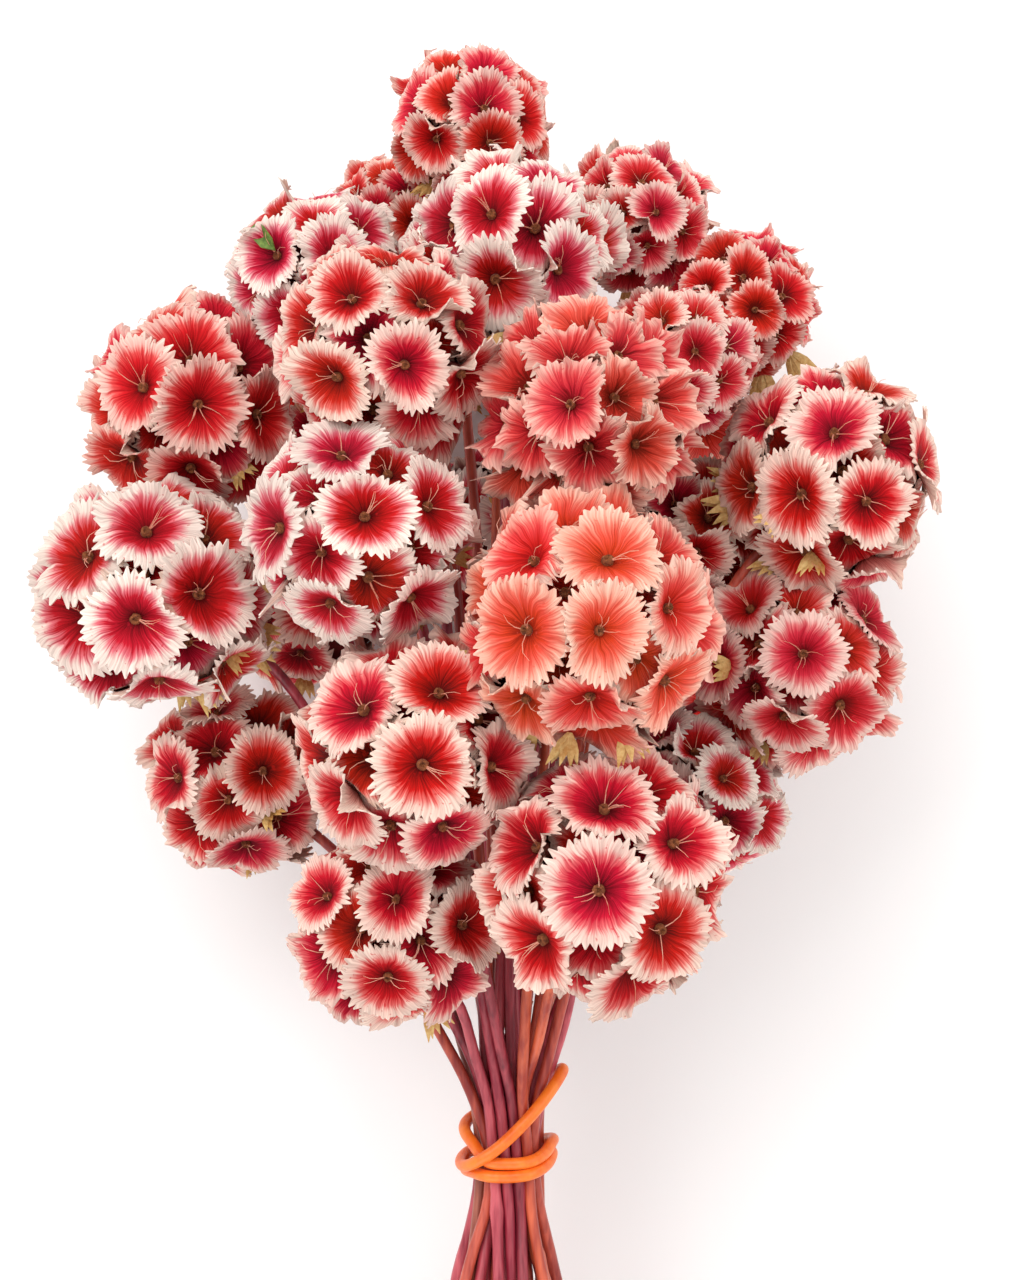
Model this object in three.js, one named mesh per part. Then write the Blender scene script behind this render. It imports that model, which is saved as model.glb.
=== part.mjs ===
// A tied bunch of dried scabiosa pods, lying on its side on a level surface.
// Each pod is a globe of papery cups on a stem of its own. The stems run together through a rubber
// band and splay out again to their cut ends.
// Millimetres. The bunch is laid out in its own straight frame first: Y runs along the stems towards
// the pods, X is across, Z is the side that faces up, and the middle of the band is at the origin.
// The whole bunch is then turned and moved as it rests, with +Z up.
import * as THREE from "three";

// Driving dimensions
const STEM_RADIUS = 1.12;
const STEM_SIDES = 6;
const STEM_STEPS = 20;
const STEM_GAP = 0.12; // least clear space between two stems
const BUNDLE_RADIUS = 6.6; // to the middles of the outermost stems in the band
const SPINE_DROP = 0.05; // the stems' middle course sinks by this share of its height among the pods
const LEAN_FROM = 60; // the stems fan out as if from this far below the band
const FOOT_Y = -150; // where the stems are cut, below the band
const FOOT_UNEVEN = 9; // the cut ends differ by this much either way
const FOOT_STEP = 2.4; // radians from one stem to the next in the wave of uneven cut ends
const FOOT_SPREAD = 7.2; // how far the stems splay at the cut, as a multiple of their spread in the band
const FOOT_TWIST = 0.75; // radians that the bundle turns between the band and the cut
const BAND_HOLD = 9; // half the length of the stretch that the band squeezes together
const POD_SOLID = 0.9; // the solid globe's radius, as a share of the radius to the cups' fringe
const POD_GAP = 0.4; // least clear space between two pods
const POD_SIDES = 12;
const POD_RINGS = 8;
const NECK_FLARE = 0.12; // radians of the globe that the neck's root spreads over
const NECK_RADIUS = 2.1;
const NECK_LENGTH = 2.6;
const NECK_ROOM = 2; // least clear space between a neck and another pod
const NECK_INWARD = 0.7; // how far the necks turn in towards the bundle, as a share of the way there
const NECK_FALL = 18; // a neck aims at a spot this far down the bunch from its pod
const NECK_FALL_WIDE = 0.17; // and further down by this share of the pod's distance to the side
const NECK_LEVEL = 0.85; // share of its height over the bundle that a neck aims to lose
const TIP_GAP = 0.7; // between a stem's tip and the neck it carries
const BAND_RADIUS = 1.15; // half the thickness of the rubber cord
const BAND_GAP = 0.35; // between the cord and the stems under it
const BAND_SIDES = 8;
const BAND_STEPS = 120;
const REST_TILT = THREE.MathUtils.degToRad(6); // pods up, cut ends down, as the bunch lies
const FLOOR_Z = -48.5; // the surface under the band, in the bunch's own frame
const PRESSED = 0.8; // how far the lowest pods are flattened where they lie

// How the loose bunch is let settle, in rounds of small moves
const POD_ROUNDS = 400;
const POD_GIVE = [0.6, 0.6, 1]; // pods part more readily in height than along or across the bunch
const NECK_ROUNDS = 60;
const STEM_ROUNDS = 420;
const SOFT_ROUNDS = 300; // the stems bend freely up to this round, and then stiffen
const SMOOTHING = 0.12; // share of a stem's unevenness that is taken out in a soft round
const SQUEEZE = 0.22; // share of the way to the axis that the band pulls in a soft round
const REACH = 6; // pieces of stem further apart than this along the bunch aren't compared
const RISE = 30; // a stem leaves the band along its own lean over this length
const RISE_SPREAD = 0.7; // and spreads by this share of its place in the band
const NECK_RUN = 26; // a stem follows its neck's line over this length
const COURSE_POINTS = 40;
const NECK_HOLD = 0.2; // share of the way back to the neck's line that a tip is pulled in a soft round

// The pods: place of the middle and radius to the fringe. A pod with rests: true lies on the surface,
// so its height follows from its radius.
const PODS = [
  { name: "pod_crown", at: [-8, 210, -8], radius: 16.2 },
  { name: "pod_crown_left", at: [-23, 194, -22], radius: 14.5 },
  { name: "pod_crown_front", at: [0, 181, 17], radius: 20.2 },
  { name: "pod_crown_right", at: [29, 190, -7], radius: 15 },
  { name: "pod_shoulder_right", at: [46, 175, -4], radius: 15.4 },
  { name: "pod_shoulder_left", at: [-38, 179, 3], radius: 17.5 },
  { name: "pod_upper_left", at: [-23, 159, 37], radius: 20.4 },
  { name: "pod_upper_right", at: [35, 161, 15], radius: 14.8 },
  { name: "pod_upper_middle", at: [15, 148, 39], radius: 20 },
  { name: "pod_side_left", at: [-65, 153, 0], radius: 21 },
  { name: "pod_middle_left", at: [-28, 128, 43], radius: 20.4 },
  { name: "pod_side_right", at: [64, 137, 14], radius: 21 },
  { name: "pod_far_left", at: [-70, 114, 17], radius: 22.6 },
  { name: "pod_middle_right", at: [14, 108, 54], radius: 23.8 },
  { name: "pod_far_right", at: [58, 99, 8], radius: 19.4 },
  { name: "pod_low_left", at: [-56, 76, -5], radius: 18.2 },
  { name: "pod_lower_middle", at: [-18, 84, 44], radius: 21.4 },
  { name: "pod_collar_left", at: [-22, 49, 27], radius: 19.6 },
  { name: "pod_collar_right", at: [19, 60, 46], radius: 22.4 },
  { name: "pod_low_right", at: [39, 73, 4], radius: 17 },
  { name: "pod_inner_right", at: [38, 127, 0], radius: 15.5 },
  { name: "pod_under_left", at: [-44, 112, 0], radius: 18, rests: true },
  { name: "pod_under_middle", at: [-2, 128, 0], radius: 20, rests: true },
  { name: "pod_under_right", at: [42, 104, 0], radius: 19, rests: true },
  { name: "pod_under_low", at: [-10, 84, 0], radius: 19, rests: true },
  { name: "pod_under_back_left", at: [-40, 156, 0], radius: 18.5, rests: true },
  { name: "pod_under_back_right", at: [33, 151, 0], radius: 18.5, rests: true },
  { name: "pod_under_crown", at: [-4, 176, 0], radius: 17, rests: true },
];

// The rubber band's route, three times round the stems: degrees round the bundle from the upper side
// towards -X, height along the bundle, and how far it is lifted off the stems where it crosses itself.
const BAND_ROUTE = [
  [-90, 17, 0], [-62, 14.2, 0], [-34, 9.4, 0], [-8, 5.2, 0.3], [16, 1.8, 1.9], [36, -0.6, 2.5],
  [60, -2.0, 2.3], [90, -1.6, 1.0], [125, -0.6, 0.1], [160, -0.2, 0], [200, -0.2, 0], [240, -0.4, 0],
  [270, -0.9, 0], [300, -2.2, 0], [330, -3.3, 0], [360, -3.8, 0], [390, -3.7, 0], [420, -3.4, 0],
  [450, -3.6, 0], [485, -3.6, 0.4], [515, -2.8, 1.6], [545, -1.2, 2.5], [575, 0.8, 2.0],
  [605, 2.0, 0.4], [630, 1.9, 0], [660, 0.4, 0], [690, -0.8, 0], [720, -1.2, 0], [750, -0.8, 0],
  [780, 2.2, 0], [810, 4.4, 0], [845, 6.0, 0], [880, 7.8, 0], [920, 10.6, 0], [955, 14.4, 0],
];

const vec = (x, y, z) => new THREE.Vector3(x, y, z);
const floorZ = (y) => FLOOR_Z - y * Math.tan(REST_TILT);

// Lift of a point over the surface that the bunch lies on.
const overFloor = (p) => (p.z - floorZ(p.y)) * Math.cos(REST_TILT);

// The pods as laid out, with every resting pod set down and every pair pushed apart until clear.
function settlePods() {
  const pods = PODS.map((pod) => ({ ...pod, centre: vec(...pod.at), solid: pod.radius * POD_SOLID }));
  const setDown = (pod) => {
    pod.centre.z = floorZ(pod.centre.y) + (pod.solid - PRESSED) / Math.cos(REST_TILT);
  };
  for (let round = 0; round < POD_ROUNDS; round++) {
    pods.filter((pod) => pod.rests).forEach(setDown);
    pods.forEach((a, i) => pods.slice(i + 1).forEach((b) => {
      const apart = b.centre.clone().sub(a.centre);
      const short = a.solid + b.solid + POD_GAP - apart.length();
      if (short <= 0) return;
      apart.multiply(vec(...POD_GIVE)).setLength(short / 2);
      a.centre.sub(apart);
      b.centre.add(apart);
    }));
  }
  pods.filter((pod) => pod.rests).forEach(setDown);
  pods.forEach((pod) => { pod.neck = neckDirection(pod, pods); });
  return pods;
}

// The direction in which a pod's neck points: in towards the middle of the bunch and down its length,
// and past any other pod that is in the way.
function neckDirection(pod, pods) {
  const { x, y, z } = pod.centre;
  const reach = pod.solid + NECK_LENGTH + TIP_GAP;
  const meet = vec(
    (1 - NECK_INWARD) * x,
    y - NECK_FALL - NECK_FALL_WIDE * Math.abs(x),
    (1 - NECK_LEVEL) * z - SPINE_DROP * y,
  );
  const neck = meet.sub(pod.centre).normalize();
  for (let round = 0; round < NECK_ROUNDS; round++) {
    pods.filter((other) => other !== pod).forEach((other) => {
      const tip = pod.centre.clone().addScaledVector(neck, reach);
      const away = tip.clone().sub(other.centre);
      const short = other.solid + NECK_RADIUS + NECK_ROOM - away.length();
      if (short > 0) neck.copy(tip.add(away.setLength(short)).sub(pod.centre)).normalize();
    });
  }
  return neck;
}

// A stem's place in the band: the more a pod leans out of the bunch, the further out its stem runs.
function slotOf(pod, pods) {
  const lean = (p) => Math.hypot(p.centre.x, p.centre.z) / (p.centre.y + LEAN_FROM);
  const rank = pods.filter((p) => lean(p) < lean(pod)).length;
  const out = BUNDLE_RADIUS * Math.sqrt((rank + 0.5) / pods.length);
  return vec(pod.centre.x, 0, pod.centre.z).setLength(out);
}

// A stem's first course: from the pod's neck through the band to the cut end, before the stems settle.
function firstCourse(pod, index, pods) {
  const tip = pod.centre.clone().addScaledVector(pod.neck, pod.solid + NECK_LENGTH + TIP_GAP);
  const slot = slotOf(pod, pods);
  const rise = vec(slot.x * RISE_SPREAD, RISE, slot.z * RISE_SPREAD);
  const upper = new THREE.CubicBezierCurve3(
    slot, slot.clone().add(rise), tip.clone().addScaledVector(pod.neck, NECK_RUN), tip,
  );
  const turned = slot.clone().applyAxisAngle(vec(0, 1, 0), FOOT_TWIST).multiplyScalar(FOOT_SPREAD);
  const foot = turned.setY(FOOT_Y + FOOT_UNEVEN * Math.sin(index * FOOT_STEP));
  const above = upper.getSpacedPoints(COURSE_POINTS).reverse();
  const below = new THREE.LineCurve3(slot, foot).getSpacedPoints(COURSE_POINTS).slice(1);
  return new THREE.CatmullRomCurve3([...above, ...below]).getSpacedPoints(STEM_STEPS);
}

// The shortest link between two straight pieces p0-p1 and q0-q1, as shares along each and a vector.
function link(p0, p1, q0, q1) {
  const u = p1.clone().sub(p0);
  const v = q1.clone().sub(q0);
  const w = p0.clone().sub(q0);
  const a = u.dot(u);
  const b = u.dot(v);
  const c = v.dot(v);
  const d = u.dot(w);
  const e = v.dot(w);
  const clamp = (t) => THREE.MathUtils.clamp(t, 0, 1);
  let s = clamp((b * e - c * d) / Math.max(a * c - b * b, 1e-9));
  const t = clamp((b * s + e) / c);
  s = clamp((b * t - d) / a);
  const gap = w.addScaledVector(u, s).addScaledVector(v, -t);
  return { s, t, gap };
}

// Moves a straight piece's two ends so that the point at share s moves by shift.
function shove(chain, k, s, shift) {
  const weight = 1 / (s * s + (1 - s) * (1 - s));
  if (k > 0) chain[k].addScaledVector(shift, (1 - s) * weight);
  if (k + 1 < chain.length) chain[k + 1].addScaledVector(shift, s * weight);
}

// The stems' courses, settled against each other, the pods, the band's squeeze and the surface below.
function settleStems(pods) {
  const chains = pods.map(firstCourse);
  const tips = chains.map((chain) => chain.slice(0, 2).map((p) => p.clone()));
  const clear = 2 * STEM_RADIUS + STEM_GAP;
  for (let round = 0; round < STEM_ROUNDS; round++) {
    const soft = Math.max(0, 1 - round / SOFT_ROUNDS);
    chains.forEach((chain) => {
      for (let k = 1; k < chain.length - 1; k++) {
        const smooth = chain[k - 1].clone().add(chain[k + 1]).multiplyScalar(0.5);
        chain[k].lerp(smooth, SMOOTHING * soft);
        const squeeze = Math.exp(-((chain[k].y / BAND_HOLD) ** 2));
        const hug = 1 - SQUEEZE * soft * squeeze;
        chain[k].x *= hug;
        chain[k].z *= hug;
      }
    });
    chains.forEach((chain, i) => {
      for (let j = i + 1; j < chains.length; j++) {
        const other = chains[j];
        for (let k = 0; k + 1 < chain.length; k++) {
          for (let l = 0; l + 1 < other.length; l++) {
            if (chain[k + 1].y > other[l].y + REACH || chain[k].y < other[l + 1].y - REACH) continue;
            const near = link(chain[k], chain[k + 1], other[l], other[l + 1]);
            const far = near.gap.length();
            if (far >= clear || far < 1e-6) continue;
            const shift = near.gap.multiplyScalar((clear - far) / far / 2);
            shove(chain, k, near.s, shift);
            shove(other, l, near.t, shift.clone().negate());
          }
        }
      }
      pods.forEach((pod, j) => {
        for (let k = j === i ? 1 : 0; k + 1 < chain.length; k++) {
          const near = link(chain[k], chain[k + 1], pod.centre, pod.centre.clone().add(vec(1e-3, 0, 0)));
          const need = pod.solid + STEM_RADIUS + STEM_GAP - near.gap.length();
          if (need > 0) shove(chain, k, near.s, near.gap.setLength(need));
        }
      });
      chain.forEach((p) => {
        const sunk = STEM_RADIUS + 0.1 - overFloor(p);
        if (sunk > 0) p.z += sunk / Math.cos(REST_TILT);
      });
    });
    chains.forEach((chain, i) => {
      chain[0].copy(tips[i][0]);
      chain[1].lerp(tips[i][1], NECK_HOLD * soft);
    });
  }
  return chains;
}

// One mesh in the bunch's own frame.
function piece(name, geometry, colour, roughness) {
  const mesh = new THREE.Mesh(
    geometry,
    new THREE.MeshStandardMaterial({ color: colour, roughness, metalness: 0 }),
  );
  mesh.name = name;
  return mesh;
}

// A pod's solid globe, turned about its neck and flattened where it lies on the surface.
function podMesh(pod) {
  const reach = pod.solid + NECK_LENGTH;
  const start = Math.asin(NECK_RADIUS / pod.solid) + NECK_FLARE;
  const profile = [new THREE.Vector2(0, -reach), new THREE.Vector2(NECK_RADIUS, -reach)];
  for (let k = 0; k <= POD_RINGS; k++) {
    const turn = start + ((Math.PI - start) * k) / POD_RINGS;
    profile.push(new THREE.Vector2(
      k === POD_RINGS ? 0 : pod.solid * Math.sin(turn),
      -pod.solid * Math.cos(turn),
    ));
  }
  const geometry = new THREE.LatheGeometry(profile, POD_SIDES);
  geometry.applyQuaternion(new THREE.Quaternion().setFromUnitVectors(vec(0, -1, 0), pod.neck));
  geometry.translate(pod.centre.x, pod.centre.y, pod.centre.z);
  const spots = geometry.getAttribute("position");
  for (let k = 0; k < spots.count; k++) {
    const p = vec(0, 0, 0).fromBufferAttribute(spots, k);
    const sunk = -overFloor(p);
    if (sunk > 0) spots.setXYZ(k, p.x, p.y + sunk * Math.sin(REST_TILT), p.z + sunk * Math.cos(REST_TILT));
  }
  geometry.computeVertexNormals();
  return piece(pod.name, geometry, 0xb8343c, 0.85);
}

// A stem as a round rod along its settled course.
function stemMesh(pod, chain) {
  const section = new THREE.Shape();
  for (let k = 0; k < STEM_SIDES; k++) {
    const turn = (k * 2 * Math.PI) / STEM_SIDES;
    const spot = [STEM_RADIUS * Math.cos(turn), STEM_RADIUS * Math.sin(turn)];
    if (k) section.lineTo(...spot);
    else section.moveTo(...spot);
  }
  const geometry = new THREE.ExtrudeGeometry(section, {
    steps: STEM_STEPS,
    extrudePath: new THREE.CatmullRomCurve3(chain),
    curveSegments: 1,
  });
  return piece(pod.name.replace("pod", "stem"), geometry, 0xa8444a, 0.6);
}

// How far the bundle's skin reaches from its axis at a height, towards a direction square to Y.
function bundleReach(chains, y, towards) {
  const reach = chains.map((chain) => {
    const k = chain.findIndex((p, n) => n > 0 && p.y <= y);
    const upper = chain[k - 1];
    const lower = chain[k];
    return upper.clone().lerp(lower, (upper.y - y) / (upper.y - lower.y)).dot(towards);
  });
  return Math.max(...reach) + STEM_RADIUS;
}

// The rubber band: one closed loop of cord, wound three times round the stems.
function bandMesh(chains) {
  const spots = BAND_ROUTE.map(([degrees, height, lift]) => {
    const turn = THREE.MathUtils.degToRad(degrees);
    const towards = vec(-Math.sin(turn), 0, Math.cos(turn));
    const out = bundleReach(chains, height, towards) + BAND_RADIUS + BAND_GAP + lift;
    return towards.multiplyScalar(out).setY(height);
  });
  const route = new THREE.CatmullRomCurve3(spots, true);
  const geometry = new THREE.TubeGeometry(route, BAND_STEPS, BAND_RADIUS, BAND_SIDES, true);
  return piece("rubber_band", geometry, 0xf06a1e, 0.45);
}

const pods = settlePods();
const chains = settleStems(pods);
const bunch = new THREE.Group();
pods.forEach((pod, i) => bunch.add(podMesh(pod), stemMesh(pod, chains[i])));
bunch.add(bandMesh(chains));
bunch.rotation.x = REST_TILT;

const resting = new THREE.Group();
resting.add(bunch);
resting.updateMatrixWorld(true);
const box = new THREE.Box3().setFromObject(resting, true);
const middle = box.getCenter(vec(0, 0, 0));
bunch.position.set(-middle.x, -middle.y, -box.min.z);

export default resting;
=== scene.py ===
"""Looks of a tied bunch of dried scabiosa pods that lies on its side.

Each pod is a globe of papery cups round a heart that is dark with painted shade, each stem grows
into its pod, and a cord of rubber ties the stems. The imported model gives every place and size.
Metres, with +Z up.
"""
import logging
import math
from contextlib import contextmanager
from dataclasses import dataclass, field
from enum import Enum
from functools import partial
from typing import Callable, Iterator

import bmesh
import bpy
import numpy as np
from mathutils import Matrix, Vector


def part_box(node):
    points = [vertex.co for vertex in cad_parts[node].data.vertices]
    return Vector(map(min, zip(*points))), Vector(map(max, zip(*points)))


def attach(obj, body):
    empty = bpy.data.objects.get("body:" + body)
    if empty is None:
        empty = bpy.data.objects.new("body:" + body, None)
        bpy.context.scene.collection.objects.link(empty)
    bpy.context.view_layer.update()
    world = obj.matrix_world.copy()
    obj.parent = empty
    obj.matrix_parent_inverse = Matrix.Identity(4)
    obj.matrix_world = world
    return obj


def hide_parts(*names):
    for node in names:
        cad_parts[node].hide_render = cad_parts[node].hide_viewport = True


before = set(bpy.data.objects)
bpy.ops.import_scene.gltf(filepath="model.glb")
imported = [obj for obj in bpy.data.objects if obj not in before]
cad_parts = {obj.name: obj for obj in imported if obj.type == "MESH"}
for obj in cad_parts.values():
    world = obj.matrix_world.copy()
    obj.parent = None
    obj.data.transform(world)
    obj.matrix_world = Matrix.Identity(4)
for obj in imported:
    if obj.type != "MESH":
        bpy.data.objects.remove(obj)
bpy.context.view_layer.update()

LOG = logging.getLogger("bunch")
MM = 0.001
TURN = 2 * math.pi
REST_TILT = math.radians(6)  # the bunch lies pods up and cut ends down
BAND_RISE = 5.8 * MM  # the cord's box is centred this far above the middle of the tie
FLOOR_GAP = 0.05 * MM  # the floor lies this far under the bunch
POD_SOLID = 0.87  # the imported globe's radius, as a share of the radius to the cups' fringe

# The bunch's own axes: across it, along it towards the pods, and up out of the side that is seen
ACROSS = Vector((1, 0, 0))
ALONG = Vector((0, math.cos(REST_TILT), math.sin(REST_TILT)))
UPWARD = Vector((0, -math.sin(REST_TILT), math.cos(REST_TILT)))

Points = np.ndarray
Leads = tuple[tuple[float, float], ...]


def linear(code: str) -> tuple[float, float, float, float]:
    """Turns an sRGB hex colour into Blender's linear one.

    Args:
        code: The colour, such as "#C8142A".

    Returns:
        Red, green, blue and an alpha of 1.
    """
    shares = [int(code[k:k + 2], 16) / 255 for k in (1, 3, 5)]
    return (*[c / 12.92 if c <= 0.04045 else ((c + 0.055) / 1.055) ** 2.4 for c in shares], 1.0)


def add_node(
    tree: bpy.types.NodeTree,
    kind: str,
    sockets: dict[str | int, object] | None = None,
    stops: list[tuple[float, str]] | None = None,
    **settings: object,
) -> bpy.types.Node:
    """Adds one node with its settings, values and links.

    Args:
        tree: The material's node tree.
        kind: The node's type name, without its first word.
        sockets: Input name or index to a value, or to the node or output socket that feeds it.
        stops: A colour ramp's places and hex colours.
        settings: The node's own properties.

    Returns:
        The new node.
    """
    node = tree.nodes.new(f"ShaderNode{kind}")
    for name, value in settings.items():
        setattr(node, name, value)
    for key, value in (sockets or {}).items():
        source = value.outputs[0] if isinstance(value, bpy.types.Node) else value
        if isinstance(source, bpy.types.NodeSocket):
            tree.links.new(source, node.inputs[key])
        else:
            node.inputs[key].default_value = source
    if stops:
        marks = node.color_ramp.elements
        while len(marks) > 1:
            marks.remove(marks[-1])
        marks[0].position, marks[0].color = stops[0][0], linear(stops[0][1])
        for place, code in stops[1:]:
            marks.new(place).color = linear(code)
    return node


# ---------------------------------------------------------------- modelling by hand


def deselect() -> None:
    """Leaves object mode with nothing selected."""
    if bpy.context.object and bpy.context.object.mode != "OBJECT":
        bpy.ops.object.mode_set(mode="OBJECT")
    bpy.ops.object.select_all(action="DESELECT")


def choose(*pieces: bpy.types.Object) -> None:
    """Selects only some pieces, the first one active.

    Args:
        pieces: The pieces.
    """
    deselect()
    for piece in pieces:
        piece.select_set(True)
    bpy.context.view_layer.objects.active = pieces[0]


@contextmanager
def editing(piece: bpy.types.Object, mode: str = "FACE", all_of_it: bool = False) -> Iterator[None]:
    """Holds a piece in edit mode.

    Args:
        piece: The piece.
        mode: "VERT", "EDGE" or "FACE".
        all_of_it: Whether all of it starts selected, or else nothing.

    Returns:
        A context that ends in object mode.
    """
    choose(piece)
    bpy.ops.object.mode_set(mode="EDIT")
    bpy.ops.mesh.select_mode(type=mode)
    bpy.ops.mesh.select_all(action="SELECT" if all_of_it else "DESELECT")
    yield
    bpy.ops.object.mode_set(mode="OBJECT")


def pick(kind: str, test: Callable[[object], bool]) -> None:
    """Selects the parts of the mesh in edit mode that pass a test.

    Args:
        kind: "verts", "edges" or "faces".
        test: Says whether a part is wanted.
    """
    mesh = bpy.context.object.data
    shape = bmesh.from_edit_mesh(mesh)
    for part in getattr(shape, kind):
        part.select_set(False)
    for part in getattr(shape, kind):
        if test(part):
            part.select_set(True)
    shape.select_flush_mode()
    bmesh.update_edit_mesh(mesh)


def looks_up(face: bmesh.types.BMFace) -> bool:
    """Whether a face looks up."""
    return face.normal.z > 0.9


def primitive(add: Callable[..., set[str]], **settings: object) -> bpy.types.Object:
    """Adds a primitive, with its place in its mesh.

    Args:
        add: The operator that adds it.
        settings: Its sizes and place.

    Returns:
        The primitive.
    """
    deselect()
    add(**settings)
    bpy.ops.object.transform_apply(location=True, rotation=True, scale=True)
    return bpy.context.object


def grow(piece: bpy.types.Object, step: float, sizes: list[tuple[float, float]]) -> None:
    """Extrudes a piece's upper face upwards, once for each size.

    Args:
        piece: The piece.
        step: How far it goes up each time.
        sizes: What the new face's width and depth are multiplied by each time.
    """
    with editing(piece):
        for wide, deep in sizes:
            pick("faces", looks_up)
            bpy.ops.mesh.extrude_region_move(TRANSFORM_OT_translate={"value": (0, 0, step)})
            bpy.ops.transform.resize(value=(wide, deep, 1))


def turn_out(piece: bpy.types.Object) -> None:
    """Turns a piece's faces outwards."""
    with editing(piece, all_of_it=True):
        bpy.ops.mesh.normals_make_consistent(inside=False)


def paint(piece: bpy.types.Object, *materials: bpy.types.Material) -> None:
    """Gives a piece only these materials.

    Args:
        piece: The piece.
        materials: The materials, in the order of their slots.
    """
    piece.data.materials.clear()
    for material in materials:
        piece.data.materials.append(material)


def smooth(piece: bpy.types.Object, crease: float = 50) -> bpy.types.Object:
    """Smooths a piece, but for its sharp creases.

    Args:
        piece: The piece.
        crease: Creases over this many degrees stay sharp.

    Returns:
        The same piece.
    """
    choose(piece)
    bpy.ops.object.shade_smooth_by_angle(angle=math.radians(crease))
    return piece


def new_object(name: str, data: bpy.types.ID) -> bpy.types.Object:
    """Puts new data into the scene.

    Args:
        name: The object's name.
        data: Its mesh, light or camera.

    Returns:
        The new object.
    """
    made = bpy.data.objects.new(name, data)
    bpy.context.scene.collection.objects.link(made)
    return made


def places(mesh: bpy.types.Mesh) -> Points:
    """Reads the places of a mesh's vertices.

    Args:
        mesh: The mesh.

    Returns:
        One row a vertex.
    """
    flat = np.empty(len(mesh.vertices) * 3)
    mesh.vertices.foreach_get("co", flat)
    return flat.reshape(-1, 3)


def set_places(mesh: bpy.types.Mesh, spots: Points) -> None:
    """Moves a mesh's vertices to new places."""
    mesh.vertices.foreach_set("co", np.asarray(spots, dtype=float).ravel())
    mesh.update()


def set_vectors(mesh: bpy.types.Mesh, name: str, values: Points) -> None:
    """Stores one vector a vertex under a name that materials read."""
    layer = mesh.attributes.get(name) or mesh.attributes.new(name, "FLOAT_VECTOR", "POINT")
    layer.data.foreach_set("vector", np.asarray(values, dtype=float).ravel())


def off_floor(spots: Points) -> Points:
    """Lifts places that are under the floor, in place, and returns them."""
    spots[:, 2] = np.maximum(spots[:, 2], FLOOR_GAP)
    return spots


def joined(parts: list[bpy.types.Object], name: str) -> bpy.types.Object:
    """Joins pieces into the first one.

    Args:
        parts: The pieces.
        name: The name of the whole.

    Returns:
        The whole.
    """
    choose(*parts)
    if len(parts) > 1:
        bpy.ops.object.join()
    parts[0].name = parts[0].data.name = name
    return parts[0]


def unit(vectors: Points) -> Points:
    """Vectors scaled to a length of 1."""
    return vectors / np.maximum(np.linalg.norm(vectors, axis=-1, keepdims=True), 1e-12)


def polar(spots: Points) -> tuple[Points, Points]:
    """Each place's distance from the Z axis, and its turn round it."""
    return np.hypot(spots[:, 0], spots[:, 1]), np.arctan2(spots[:, 1], spots[:, 0])


def swing(turn: Points, centre: float) -> Points:
    """Angles measured from a centre, between half a turn back and half a turn on."""
    return (turn - centre + math.pi) % TURN - math.pi


def spread(count: int, start: float = 0) -> Points:
    """Spreads directions evenly over a globe.

    Args:
        count: How many.
        start: The turn of the first one.

    Returns:
        One unit vector each.
    """
    k = np.arange(count) + 0.5
    high = 1 - 2 * k / count
    turn = k * math.pi * (3 - math.sqrt(5)) + start  # the golden angle, so that none line up
    wide = np.sqrt(1 - high ** 2)
    return np.column_stack([wide * np.cos(turn), wide * np.sin(turn), high])


# ---------------------------------------------------------------- finishes


def new_material(name: str) -> tuple[bpy.types.Material, bpy.types.NodeTree, bpy.types.Node]:
    """Starts a material.

    Args:
        name: What the real surface is.

    Returns:
        The material, its node tree and its Principled shader.
    """
    material = bpy.data.materials.new(name)
    material.use_nodes = True
    tree = material.node_tree
    return material, tree, tree.nodes["Principled BSDF"]


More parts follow.
